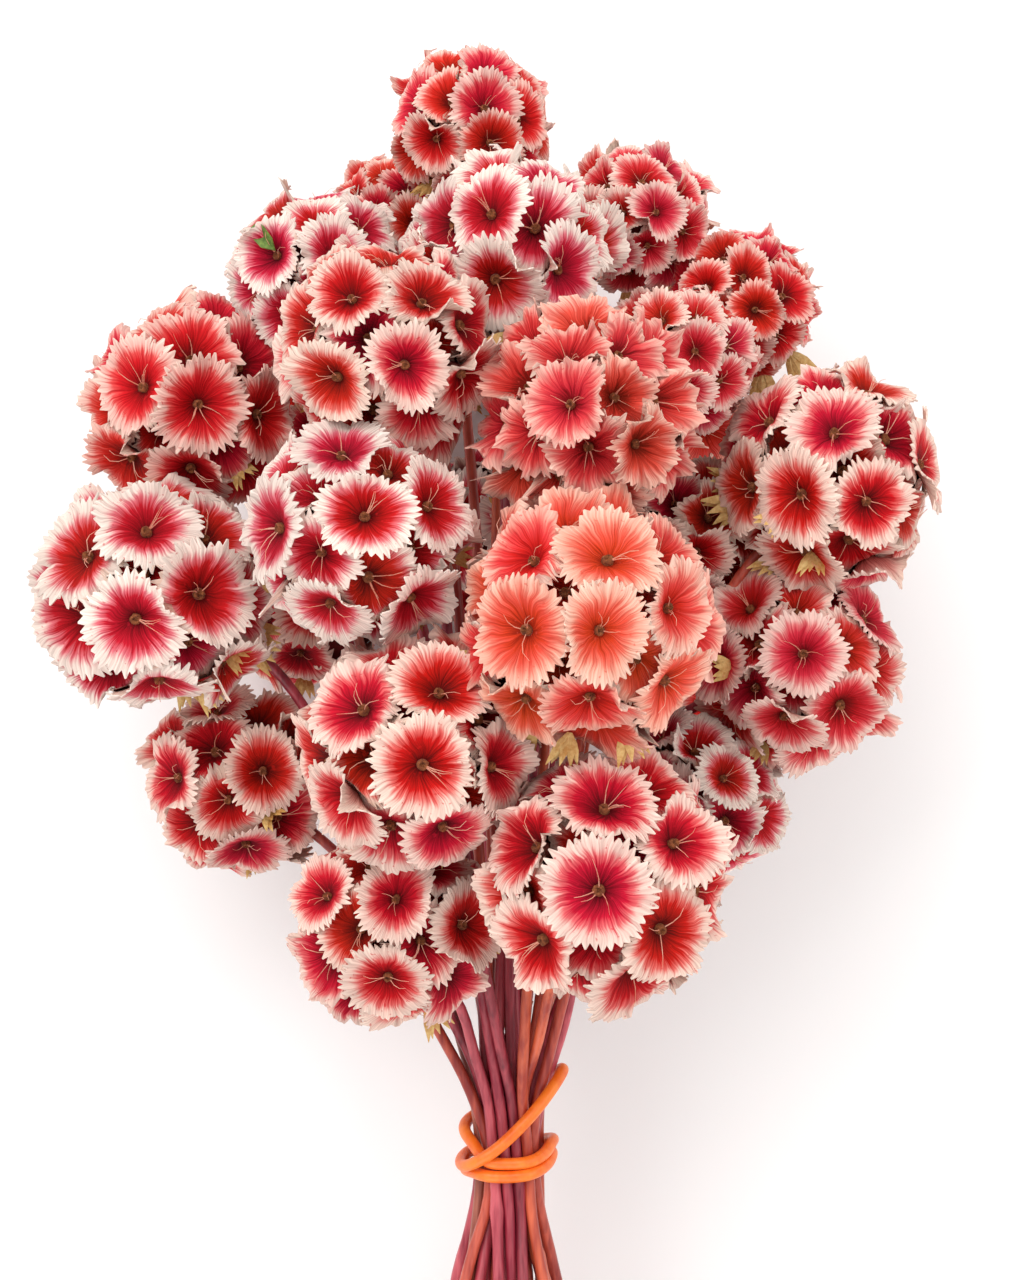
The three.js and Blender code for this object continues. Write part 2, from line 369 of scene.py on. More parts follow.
@dataclass(frozen=True)
class PetalFinish:
    """Dried petal: paper-thin, matt, red inside and bleached at the rim, with fine rays.

    The colours run from the cup's throat to its tips, and the darkest, at the throat, is painted
    shade of its hollow centre. The red ends in streaks, because the colour follows the petal's
    rays; `edge` shifts that border outwards and `ragged` says how uneven it is.
    """

    name: str
    throat: str
    deep: str
    bright: str
    blush: str
    rim: str
    tip: str
    edge: float = 0.0
    ragged: float = 0.38
    contrast: float = 0.27  # how much the veins darken and lighten the petal

    RAYS = 6.0  # broad rays: about 40 round the cup
    HAIRS = 21.0  # hair veins: about 130 round the cup, 0.4 mm apart at the rim
    BLOTCHES = 2.2  # patches of a quarter of the cup, which make the red star lopsided
    SPECKS = 11.0  # red specks of half a millimetre
    STRAY = 0.24  # how far the blotches push the star aside
    FEATHER = 0.32  # how far the hair veins feather the star's edge
    PLACES = (0.10, 0.27, 0.46, 0.61, 0.76, 1.0)  # where each colour is, from throat to tips

    def make(self) -> bpy.types.Material:
        """Makes the material, which reads the cup's own "disc" and "tone" vectors.

        Returns:
            The material.
        """
        material, tree, shader = new_material(self.name)
        add = partial(add_node, tree)
        disc = add("Attribute", attribute_name="disc").outputs["Vector"]
        tone = add("Attribute", attribute_name="tone").outputs["Vector"]
        shift, hue, value = add("SeparateXYZ", {0: tone}).outputs

        def patches(count: float, step: float) -> bpy.types.Node:
            """Noise in patches over the flat cup, set apart by the step from one cup to the next."""
            place = add("VectorMath", {0: disc, 1: (count, count, step)}, operation="MULTIPLY")
            return add("TexNoise", {"Vector": place, "Scale": 1.0, "Detail": 1.0})

        flat = add("VectorMath", {0: disc, 1: (1, 1, 0)}, operation="MULTIPLY")
        out = add("VectorMath", {0: flat}, operation="LENGTH").outputs["Value"]
        blotch = patches(self.BLOTCHES, 31).outputs["Color"]
        blotch = add("VectorMath", {0: blotch, 1: (0.5, 0.5, 0.5)}, operation="SUBTRACT")
        level = add(
            "VectorMath", {0: blotch, 1: (self.STRAY, self.STRAY, 0), 2: flat}, operation="MULTIPLY_ADD",
        )
        ray = add("VectorMath", {0: level}, operation="NORMALIZE")
        seed = add("VectorMath", {0: disc, 1: (1.2, 1.2, 60)}, operation="MULTIPLY")  # differs by cup

        def rays(count: float) -> bpy.types.Node:
            """Noise that runs out from the throat in rays."""
            place = add("VectorMath", {0: ray, 1: (count, count, 0), 2: seed}, operation="MULTIPLY_ADD")
            return add("TexNoise", {"Vector": place, "Scale": 1.0, "Detail": 2.0})

        broad, hairs = rays(self.RAYS), rays(self.HAIRS)
        border = add("Math", {0: broad, 1: self.ragged, 2: out}, operation="MULTIPLY_ADD")
        border = add("Math", {0: hairs, 1: self.FEATHER, 2: border}, operation="MULTIPLY_ADD")
        border = add("Math", {0: border, 1: shift}, operation="ADD")
        start = 0.5 * self.ragged + 0.20 + self.edge  # takes off the mean of both noises
        border = add("Math", {0: border, 1: start}, operation="SUBTRACT")
        # the first colour, at the throat, is painted shade of the cup's hollow centre
        colours = (self.throat, self.deep, self.bright, self.blush, self.rim, self.tip)
        ramp = add("ValToRGB", {0: border}, stops=list(zip(self.PLACES, colours)))
        darkest, lightest = 1 - self.contrast, 1 + 0.45 * self.contrast
        veined = add("MapRange", {0: hairs, 1: 0.30, 2: 0.68, 3: darkest, 4: lightest})
        specks = add("MapRange", {0: patches(self.SPECKS, 83), 1: 0.68, 2: 0.74})  # only the peaks
        specks = add("Math", {0: specks, 1: 0.55}, operation="MULTIPLY")
        dotted = add("Mix", {"Factor": specks, "A": ramp, "B": linear(self.bright)}, data_type="RGBA")
        shade = add("Math", {0: veined, 1: value}, operation="MULTIPLY")
        dressed = add(
            "HueSaturation",
            {"Hue": hue, "Saturation": 1.0, "Color": dotted.outputs["Result"], "Value": shade},
        )
        relief = add("Math", {0: broad, 1: 1.5, 2: hairs}, operation="MULTIPLY_ADD")
        bump = add("Bump", {"Strength": 0.5, "Distance": 0.5 * MM, "Height": relief})
        tree.links.new(dressed.outputs[0], shader.inputs["Base Color"])
        tree.links.new(bump.outputs[0], shader.inputs["Normal"])
        shader.inputs["Roughness"].default_value = 0.75
        shader.inputs["Specular IOR Level"].default_value = 0.12
        return material


# Petals that kept their dye inside and lost it at the rim: a red star in a pale ring
CREAM_EDGED = PetalFinish(
    "dried_petal_crimson_cream", "#5E0406", "#96050D", "#C2121C", "#DA625E", "#E5BCAE", "#EAD1C2",
)
WHITE_EDGED = PetalFinish(
    "dried_petal_crimson_white", "#62060C", "#9A0814", "#C01826", "#DA6E76", "#E8CFC3", "#EEDDD1",
    edge=-0.02,
)
# Petals that faded to orange all over: a soft coral head without a sharp star
CORAL = PetalFinish(
    "dried_petal_coral", "#9E1E08", "#C83018", "#DA463A", "#E26E5E", "#E9A28E", "#ECC2AF",
    ragged=0.5,
)
# Petals whose dye ran out along the veins: long streaks that reach the teeth
STREAKED = PetalFinish(
    "dried_petal_streaked", "#7C1008", "#BC2220", "#D6423C", "#E0746A", "#E8A696", "#EBC6B4",
    edge=0.02, ragged=0.5,
)
# Petals that dried fast: red nearly to the teeth, with a thin pale edge
THIN_EDGED = PetalFinish(
    "dried_petal_red", "#6A0406", "#AA060E", "#CC1820", "#DA4A48", "#E8ACA0", "#EDCFC0", edge=0.03,
)
# Petals that dried in the shade: a softer red that fades evenly to the teeth
ROSE = PetalFinish(
    "dried_petal_rose", "#780808", "#B40E18", "#D22E38", "#E0706E", "#ECBEB2", "#EED0C2", edge=0.02,
)
# The back of a petal has hardly any dye: a dull pink, where a rim folds over
UNDERSIDE = PetalFinish(
    "dried_petal_underside", "#8A3E30", "#B45C50", "#C87A6E", "#D8A092", "#E5C1B0", "#EACDBB",
    edge=-0.05, contrast=0.24,
)


class Palette(Enum):
    """The finishes that a pod's cups may have."""

    CREAM = CREAM_EDGED
    WHITE = WHITE_EDGED
    CORAL = CORAL
    STREAKED = STREAKED
    RED = THIN_EDGED
    ROSE = ROSE


@dataclass(frozen=True)
class PlainFinish:
    """A dry plant part of two colours that blend over a set grain.

    `grain` is the size of a patch in metres, and `stretch` says how much longer it is along the
    bunch than across, as a stem's fibres are. `low` and `high` say how sharply the colours part.
    """

    name: str
    dark: str
    light: str
    grain: float
    stretch: float = 1.0
    roughness: float = 0.7
    relief: float = 0.2 * MM
    low: float = 0.35
    high: float = 0.65

    FIBRES = 5  # fibres to a patch

    def make(self) -> bpy.types.Material:
        """Makes the material on object coordinates.

        Returns:
            The material.
        """
        material, tree, shader = new_material(self.name)
        add = partial(add_node, tree)
        place = add("TexCoord").outputs["Object"]
        place = add("Mapping", {"Vector": place, "Scale": (1, 1 / self.stretch, 1)})
        patch = add("TexNoise", {"Vector": place, "Scale": 1 / self.grain, "Detail": 3.0})
        fibre = add("TexNoise", {"Vector": place, "Scale": self.FIBRES / self.grain, "Detail": 2.0})
        mixed = add("Math", {0: patch, 1: 0.6}, operation="MULTIPLY")
        mixed = add("Math", {0: fibre, 1: 0.4, 2: mixed}, operation="MULTIPLY_ADD")
        mixed = add("MapRange", {0: mixed, 1: self.low, 2: self.high})
        ramp = add("ValToRGB", {0: mixed}, stops=[(0.0, self.dark), (1.0, self.light)])
        bump = add("Bump", {"Strength": 0.6, "Distance": self.relief, "Height": fibre})
        tree.links.new(ramp.outputs[0], shader.inputs["Base Color"])
        tree.links.new(bump.outputs[0], shader.inputs["Normal"])
        shader.inputs["Roughness"].default_value = self.roughness
        return material


HUB = PlainFinish("dried_flower_eye_painted_shade", "#4A1608", "#A66236", 0.7 * MM, roughness=0.9)  # fuzzy, dull; its brown is darkened with painted shade of the eye's hollow
AWN = PlainFinish("dried_bristle", "#D67E62", "#EAB49C", 3 * MM, roughness=0.55)  # pale hard hairs
HEART = PlainFinish("dried_pod_heart_painted_shade", "#4A0C0E", "#8A2A28", 4 * MM, roughness=0.85)  # dark red-brown, partly painted shade for the gaps between the cups
TUBE = PlainFinish("dried_cup_tube", "#6A1A18", "#B06A5C", 3 * MM, roughness=0.8)  # matt, dusty
STRAW = PlainFinish("dried_bract_straw", "#C48E44", "#EED08A", 3 * MM, roughness=0.6)  # gold, papery
CUT = PlainFinish("cut_stem_pith", "#B98F62", "#E8D2A8", 1 * MM, roughness=0.9)  # chalky, pale
SHEATH = PlainFinish("dried_leaf_sheath", "#7A3A2C", "#B0705A", 2 * MM, roughness=0.8)  # like bark
LEAF = PlainFinish("dried_green_leaf", "#2F4F1C", "#7E9A44", 3 * MM, roughness=0.55)  # faded, waxy
# Moulded natural rubber: smooth and even, with a soft wide shine
RUBBER = PlainFinish(
    "natural_rubber_orange", "#EE620A", "#FD842A", 6 * MM, roughness=0.36, relief=0.05 * MM,
)


# The settings that every stalk's skin shares: a slight relief, and colours that part sharply
stalk_skin = partial(PlainFinish, relief=0.15 * MM, low=0.40, high=0.60)


class StemTint(Enum):
    """Dried stalk skin: smooth and satin, rosy where the sun reached it, with long fibres."""

    ROSE = stalk_skin("dried_stalk_rose", "#8E2034", "#CC5A64", 5 * MM, 9, 0.38)
    PLUM = stalk_skin("dried_stalk_plum", "#701828", "#B4424E", 5 * MM, 9, 0.40)
    BRICK = stalk_skin("dried_stalk_brick", "#8E2A24", "#CA5A44", 5 * MM, 8, 0.38)
    AMBER = stalk_skin("dried_stalk_amber", "#A63A2A", "#DC6844", 6 * MM, 8, 0.38)
    BROWN = stalk_skin("dried_stalk_brown", "#7A3428", "#AE6450", 5 * MM, 9, 0.45)


class Finishes:
    """Every finish's material, made once."""

    def __init__(self) -> None:
        """Starts with no material made."""
        self.made: dict[str, bpy.types.Material] = {}

    def get(self, finish: PetalFinish | PlainFinish) -> bpy.types.Material:
        """Finds a finish's material, which is made at the first call.

        Args:
            finish: The finish.

        Returns:
            Its material.
        """
        if finish.name not in self.made:
            self.made[finish.name] = finish.make()
        return self.made[finish.name]


# ---------------------------------------------------------------- one papery cup


@dataclass(frozen=True)
class CupShape:
    """How one pattern of cup is cut and bent. Lengths are shares of the cup's radius."""

    seed: int
    teeth: int = 40
    petals: int = 5
    depth: float = 0.32  # the rim stands this far over the throat
    droop: float = 0.08  # the outermost part falls back by this much
    lap: float = 0.13  # each petal's one side lies this far over the next one's
    notch: float = 0.10  # the outline dips by this much where two petals meet
    waves: int = 6
    ruffle: float = 0.06
    saddle: float = 0.07  # two sides of the saucer rise over the other two
    folds: int = 1
    fine: bool = True


FINE_CUPS = (
    CupShape(1, depth=0.32, waves=5, folds=0),
    CupShape(2, depth=0.28, waves=6, ruffle=0.05),
    CupShape(3, depth=0.36, waves=4, lap=0.10),
    CupShape(4, depth=0.30, waves=7, notch=0.14, folds=0),
    CupShape(5, depth=0.42, waves=5, ruffle=0.06, folds=2),
    CupShape(6, depth=0.26, waves=3, lap=0.09),
    CupShape(7, depth=0.34, waves=4, ruffle=0.05, notch=0.16),
)
RUFFLED_CUPS = (
    CupShape(11, depth=0.42, waves=9, ruffle=0.12, folds=2),
    CupShape(12, depth=0.50, waves=8, ruffle=0.14, folds=3),
    CupShape(13, depth=0.36, waves=10, ruffle=0.11, folds=1),
)
COARSE_CUPS = (
    CupShape(21, teeth=30, depth=0.32, waves=5, fine=False),
    CupShape(22, teeth=30, depth=0.28, waves=6, folds=0, fine=False),
    CupShape(23, teeth=30, depth=0.36, waves=4, fine=False),
)


class Cup:
    """A papery cup: a toothed saucer on a narrow tube, with an eye and a few bristles.

    It is modelled once, one metre in radius, level at the origin, and copied onto the pods.
    """

    THROAT = 0.10
    VALLEY = 0.905  # where the slits between the teeth end
    FINE_RINGS = (0.28, 0.60, VALLEY, 1.0)
    COARSE_RINGS = (0.4, VALLEY, 1.0)
    THICK = 0.026
    NARROW = 0.17  # a tooth's tip, as a share of its root's width
    UNEVEN = 0.05  # how much the petals differ in length and height
    FOLD_WIDTH = 0.40  # half of a folded part, in radians
    FOLD = 0.30  # how far a folded part comes in, and up
    CRINKLE = 0.014

    def __init__(self, shape: CupShape, finishes: Finishes) -> None:
        """Models the cup.

        Args:
            shape: How it is cut and bent.
            finishes: Where its materials come from.
        """
        self.shape = shape
        self.finishes = finishes
        self.random = np.random.default_rng(shape.seed)
        parts = [self._saucer(), self._tube(), self._eye()]
        parts += [self._awn() for _ in range(int(self.random.integers(3, 6)) if shape.fine else 2)]
        self.model = joined(parts, f"cup_pattern_{shape.seed}")
        self.spots = places(self.model.data)

    def lift(self, out: Points) -> Points:
        """The saucer's height over its throat, at distances from its axis."""
        share = np.clip((out - self.THROAT) / (1 - self.THROAT), 0, 1.2)
        return self.shape.depth * (1 - np.abs(1 - share) ** 1.8) - self.shape.droop * share ** 5

    def _saucer(self) -> bpy.types.Object:
        """Models the toothed saucer.

        Returns:
            A closed thin shell.
        """
        shape = self.shape
        circle = bpy.ops.mesh.primitive_circle_add
        saucer = primitive(circle, vertices=shape.teeth // 2, radius=self.THROAT, fill_type="NGON")
        reach = self.THROAT
        with editing(saucer, "EDGE"):
            for k, ring in enumerate(self.FINE_RINGS if shape.fine else self.COARSE_RINGS):
                pick("edges", lambda edge: edge.is_boundary)
                bpy.ops.mesh.extrude_edges_move()
                bpy.ops.transform.resize(value=(ring / reach, ring / reach, 1))
                reach = ring
                if k == 0:
                    pick("edges", lambda edge: edge.is_boundary)
                    bpy.ops.mesh.subdivide(number_cuts=1)
            outer = (1 + self.VALLEY) / 2
            pick("edges", lambda edge: sum(v.co.length > outer for v in edge.verts) == 1)
            bpy.ops.mesh.edge_split(type="EDGE")
        self._cut_teeth(saucer.data)
        flat = places(saucer.data)
        paint(saucer, self.finishes.get(CREAM_EDGED), self.finishes.get(UNDERSIDE))
        set_vectors(saucer.data, "disc", flat)
        self._bend(saucer.data, flat)
        turn_out(saucer)
        if np.mean([face.normal.z for face in saucer.data.polygons]) < 0:
            saucer.data.flip_normals()
        choose(saucer)
        wall = saucer.modifiers.new("wall", "SOLIDIFY")
        wall.thickness = self.THICK
        wall.offset = -1.0
        wall.material_offset = 1
        bpy.ops.object.modifier_apply(modifier=wall.name)
        return smooth(saucer)

    def _cut_teeth(self, mesh: bpy.types.Mesh) -> None:
        """Narrows the outermost faces to pointed teeth of uneven length, and deepens some slits.

        Args:
            mesh: The flat saucer.
        """
        teeth = self.shape.teeth
        spots = places(mesh)
        out, turn = polar(spots)
        step = TURN / teeth
        length = self.random.uniform(-0.045, 0.055, teeth)
        bent = self.random.uniform(-0.25, 0.25, teeth) * step
        slit = self.random.uniform(-0.045, 0.015, teeth)
        root = np.abs(out - self.VALLEY * math.cos(step / 4)) < 0.03
        which = np.round(turn / step).astype(int) % teeth
        spots[root, :2] *= (1 + slit[which[root]])[:, None]
        for face in mesh.polygons:
            tips = [v for v in face.vertices if out[v] > (1 + self.VALLEY) / 2]
            if len(tips) != 2:
                continue
            middle = math.atan2(face.center.y, face.center.x)
            tooth = int(math.floor(middle / step)) % teeth
            for v in tips:
                angle = middle + self.NARROW * swing(turn[v], middle) + bent[tooth]
                reach = 1 + length[tooth]
                spots[v, :2] = reach * math.cos(angle), reach * math.sin(angle)
        set_places(mesh, spots)

    def _bend(self, mesh: bpy.types.Mesh, flat: Points) -> None:
        """Bends the flat disc into overlapping petals, ruffled, some with their rim folded up.

        Args:
            mesh: The saucer.
            flat: Its places while it is flat.
        """
        shape, random = self.shape, self.random
        out, turn = polar(flat)
        phase = random.uniform(0, TURN, 3)
        step = TURN / shape.teeth
        place = np.floor((turn + 1e-4) / step + 0.5) * step  # a whole tooth belongs to one petal
        place = np.where(out > self.VALLEY - 0.06, turn, place)
        share = (place / TURN * shape.petals) % 1.0
        petal = np.floor((place / TURN) % 1.0 * shape.petals).astype(int) % shape.petals
        outer = np.clip((out - 0.2) / 0.8, 0, 1)
        wide = out * (1 - shape.notch * np.abs(2 * share - 1) ** 4 * outer ** 2)
        wide *= 1 + random.uniform(-self.UNEVEN, self.UNEVEN, shape.petals)[petal] * outer
        high = self.lift(out)
        high += shape.lap * (share - 0.5) * outer
        high += random.uniform(-self.UNEVEN, self.UNEVEN, shape.petals)[petal] * outer ** 2
        high += shape.saddle * np.cos(2 * turn + phase[2]) * outer ** 1.5
        high += shape.ruffle * np.cos(shape.waves * turn + phase[0]) * outer ** 2
        high += 0.4 * shape.ruffle * np.cos((2 * shape.waves + 3) * turn + phase[1]) * outer ** 3
        crinkle = np.empty(len(out))  # given out by place: the tools number the places anew each run
        crinkle[np.lexsort(np.round(flat, 6).T)] = random.uniform(-self.CRINKLE, self.CRINKLE, len(out))
        high += crinkle * (out > 0.5)
        for _ in range(shape.folds):
            aside = swing(turn, random.uniform(0, TURN))
            fold = np.exp(-((aside / self.FOLD_WIDTH) ** 2)) * np.clip((out - 0.30) / 0.70, 0, 1) ** 1.3
            wide = wide * (1 - self.FOLD * fold)
            high = high + self.FOLD * fold
        set_places(mesh, np.column_stack([wide * np.cos(turn), wide * np.sin(turn), high]))

    def _tube(self) -> bpy.types.Object:
        """Models the narrow tube that the saucer stands on.

        Returns:
            The tube.
        """
        cone = bpy.ops.mesh.primitive_cone_add
        tube = primitive(cone, vertices=8, radius1=0.08, radius2=0.17, depth=0.5, location=(0, 0, -0.25))
        paint(tube, self.finishes.get(TUBE))
        return smooth(tube)

    def _eye(self) -> bpy.types.Object:
        """Models the fuzzy eye.

        Returns:
            A low mound with a pit.
        """
        eye = primitive(
            bpy.ops.mesh.primitive_cylinder_add, vertices=10 if self.shape.fine else 6,
            radius=self.THROAT, depth=0.10, location=(0, 0, 0.03), end_fill_type="NGON",
        )
        with editing(eye):
            pick("faces", looks_up)
            bpy.ops.mesh.inset(thickness=0.035, depth=0.03)
            bpy.ops.mesh.inset(thickness=0.035, depth=-0.06)
        spots = places(eye.data)
        set_places(eye.data, spots + self.random.uniform(-0.012, 0.012, spots.shape))
        paint(eye, self.finishes.get(HUB))
        return smooth(eye, 60)

    def _awn(self) -> bpy.types.Object:
        """Models one bristle that runs from the eye out over the saucer.

        Returns:
            The bristle.
        """
        cylinder = bpy.ops.mesh.primitive_cylinder_add
        awn = primitive(cylinder, vertices=3, radius=0.013, depth=0.02, end_fill_type="NGON")
        reach = self.random.uniform(0.22, 0.5)
        sway = self.random.uniform(-0.2, 0.2)
        rise = self.random.uniform(0.04, 0.16)
        grow(awn, 1, [(0.72, 0.72)] * 3)
        spots = places(awn.data)
        share = np.clip(spots[:, 2] / 3, 0, 1)
        turn = self.random.uniform(0, TURN)
        out = 0.06 + reach * share
        side = sway * share ** 2 + spots[:, 0]
        high = 0.05 + self.lift(out) + rise * np.sin(share * 2.6) + 0.03 + spots[:, 1]
        across = out * math.cos(turn) - side * math.sin(turn)
        along = out * math.sin(turn) + side * math.cos(turn)
        set_places(awn.data, np.column_stack([across, along, high]))
        turn_out(awn)
        paint(awn, self.finishes.get(AWN))
        return awn


class Patterns:
    """The cups and the straw tassel, each modelled once and then copied."""

    FINGERS = 5

    def __init__(self, finishes: Finishes) -> None:
        """Models them all.

        Args:
            finishes: Where their materials come from.
        """
        self.fine = [Cup(shape, finishes) for shape in FINE_CUPS]
        self.ruffled = [Cup(shape, finishes) for shape in RUFFLED_CUPS]
        self.coarse = [Cup(shape, finishes) for shape in COARSE_CUPS]
        self.tassel = self._tassel(finishes)

    def _tassel(self, finishes: Finishes) -> bpy.types.Object:
        """Models one straw tassel, 1 m long, pointing up: pointed fingers that part from one root.

        Args:
            finishes: Where its material comes from.

        Returns:
            The tassel.
        """
        random = np.random.default_rng(77)
        cylinder = bpy.ops.mesh.primitive_cylinder_add
        fingers = []
        for k in range(self.FINGERS):
            finger = primitive(cylinder, vertices=4, radius=0.07, depth=0.02, end_fill_type="NGON")
            grow(finger, 0.25, [(wide, wide * 0.8) for wide in (1.9, 1.0, 0.55, 0.12)])
            spots = places(finger.data)
            spots[:, 1] *= 0.4
            lean = (k - self.FINGERS // 2) * 0.20 + random.uniform(-0.06, 0.06)
            along = spots[:, 2].copy()
            spots[:, 0] += math.sin(lean) * along * 1.1
            spots[:, 1] += random.uniform(-0.15, 0.25) * along ** 2
            spots[:, 2] *= math.cos(lean) * random.uniform(0.75, 1.05)
            set_places(finger.data, spots)
            fingers.append(finger)
        tassel = joined(fingers, "tassel_pattern")
        paint(tassel, finishes.get(STRAW))
        return tassel

    def remove(self) -> None:
        """Takes the patterns out of the scene."""
        for pattern in [cup.model for cup in self.fine + self.ruffled + self.coarse] + [self.tassel]:
            bpy.data.objects.remove(pattern)


# ---------------------------------------------------------------- a pod of cups


@dataclass(frozen=True)
class PodLook:
    """What is particular to one pod.

    `leads` are the cups that show best, as seen from above the bunch: how far each one's eye is to
    the right of and above the pod's middle, in shares of the pod's radius. `bracts` are the straw
    bracts that show past the cups, in the same way.
    """

    palette: Palette
    leads: Leads = ()
    cups: int = 36
    size: float = 0.47  # a cup's radius, as a share of the pod's
    ruffled: bool = False
    bracts: Leads = ()
    leaf: bool = False


LOOKS: dict[str, PodLook] = {
    "crown": PodLook(Palette.RED, ((-0.4, -0.1), (0.2, -0.15), (-0.15, -0.6)), 40, 0.43),
    "crown_left": PodLook(Palette.RED, (), 36, 0.42),
    "crown_front": PodLook(Palette.WHITE, ((-0.13, -0.2), (-0.16, 0.35), (-0.62, -0.1), (0.4, -0.12))),
    "crown_right": PodLook(Palette.ROSE, ((-0.3, -0.35), (0.2, 0.1)), 38, 0.42),
    "shoulder_right": PodLook(
        Palette.RED, ((-0.4, 0.2), (0.15, -0.05)), 40, 0.42, bracts=((0.3, -0.95), (0.7, -0.7)),
    ),
    "shoulder_left": PodLook(Palette.WHITE, ((0.1, 0.2), (-0.45, 0.2), (-0.3, -0.4)), 36, leaf=True),
    "upper_left": PodLook(
        Palette.CREAM, ((0.13, -0.15), (-0.42, -0.25), (-0.3, 0.38), (0.27, 0.35), (0.6, -0.22)), 36,
        bracts=((0.95, 0.0),),
    ),
    "upper_right": PodLook(Palette.ROSE, ((-0.23, 0.46), (0.03, -0.32)), 38, 0.43),
    "upper_middle": PodLook(Palette.STREAKED, ((-0.13, 0.08), (0.41, -0.25)), 42, 0.44, True),
    "side_left": PodLook(
        Palette.RED, ((0.06, 0.0), (0.0, -0.54), (0.56, -0.08), (-0.5, -0.45), (-0.4, 0.14)),
        bracts=((0.55, -0.55), (0.7, -0.35)),
    ),
    "middle_left": PodLook(
        Palette.WHITE,
        ((0.05, 0.12), (-0.23, -0.58), (-0.64, 0.03), (0.42, -0.53), (-0.14, 0.62), (0.56, 0.21)),
    ),
    "side_right": PodLook(
        Palette.CREAM,
        ((0.02, 0.36), (-0.25, -0.14), (0.28, -0.2), (-0.52, 0.46), (-0.66, -0.08), (-0.22, -0.62),
         (0.28, -0.7), (0.3, 0.7), (0.72, 0.1)),
        38, bracts=((-1.0, -0.25), (-0.2, -0.98), (-0.55, -0.85)),
    ),
    "far_left": PodLook(
        Palette.WHITE,
        ((-0.16, -0.19), (0.32, 0.0), (-0.08, 0.47), (-0.52, 0.28), (0.02, -0.66), (0.5, -0.53)),
        bracts=((0.9, -0.5), (1.0, -0.35), (0.45, -0.95)),
    ),
    "middle_right": PodLook(
        Palette.CORAL,
        ((0.11, -0.05), (0.17, 0.42), (-0.33, 0.42), (-0.38, -0.05), (-0.39, -0.52), (0.05, -0.5),
         (0.56, -0.4), (0.58, 0.1)),
        38, 0.42, bracts=((-0.5, -0.9), (-0.12, -1.02), (0.4, -0.93), (-0.95, -0.3)),
    ),
    "far_right": PodLook(
        Palette.ROSE,
        ((0.06, 0.12), (-0.42, 0.53), (-0.67, 0.02), (-0.11, -0.44), (0.4, -0.34), (0.6, 0.43)),
    ),
    "low_left": PodLook(
        Palette.CREAM, ((0.26, 0.08), (-0.19, 0.66), (-0.58, 0.02), (0.09, -0.64)), 32, 0.5,
    ),
    "lower_middle": PodLook(
        Palette.CREAM,
        ((0.07, -0.12), (-0.38, 0.3), (0.2, 0.43), (0.6, -0.14), (-0.47, -0.36), (0.23, -0.6)),
    ),
    "collar_left": PodLook(Palette.CREAM, ((0.0, 0.22), (-0.6, 0.25), (-0.07, -0.45), (0.58, 0.0)), 34),
    "collar_right": PodLook(
        Palette.CREAM,
        ((-0.07, -0.1), (-0.52, 0.21), (-0.03, 0.49), (0.48, 0.24), (0.38, -0.39), (-0.48, -0.47),
         (0.17, -0.68)),
    ),
    "low_right": PodLook(Palette.WHITE, ((-0.38, 0.6), (0.25, 0.2)), 34),
    "inner_right": PodLook(Palette.CREAM, ((-0.35, -0.06), (0.03, -0.6)), 34),
    "under_left": PodLook(Palette.CREAM, (), 25),
    "under_middle": PodLook(Palette.WHITE, (), 25),
    "under_right": PodLook(Palette.RED, (), 25),
    "under_low": PodLook(Palette.ROSE, (), 25),
    "under_back_left": PodLook(Palette.CREAM, (), 25),
    "under_back_right": PodLook(Palette.CORAL, (), 25),
    "under_crown": PodLook(Palette.RED, (), 25),
}


@dataclass
class Placed:
    """A cup on a pod: its eye's place, its axes, its radius and its pattern."""

    eye: Points
    axes: Points  # rows: two level axes and the axis that it opens along
    radius: float
    cup: Cup
    spots: Points
    under: Points = field(default_factory=lambda: np.zeros((0, 0)))  # its underside, by ring and sector


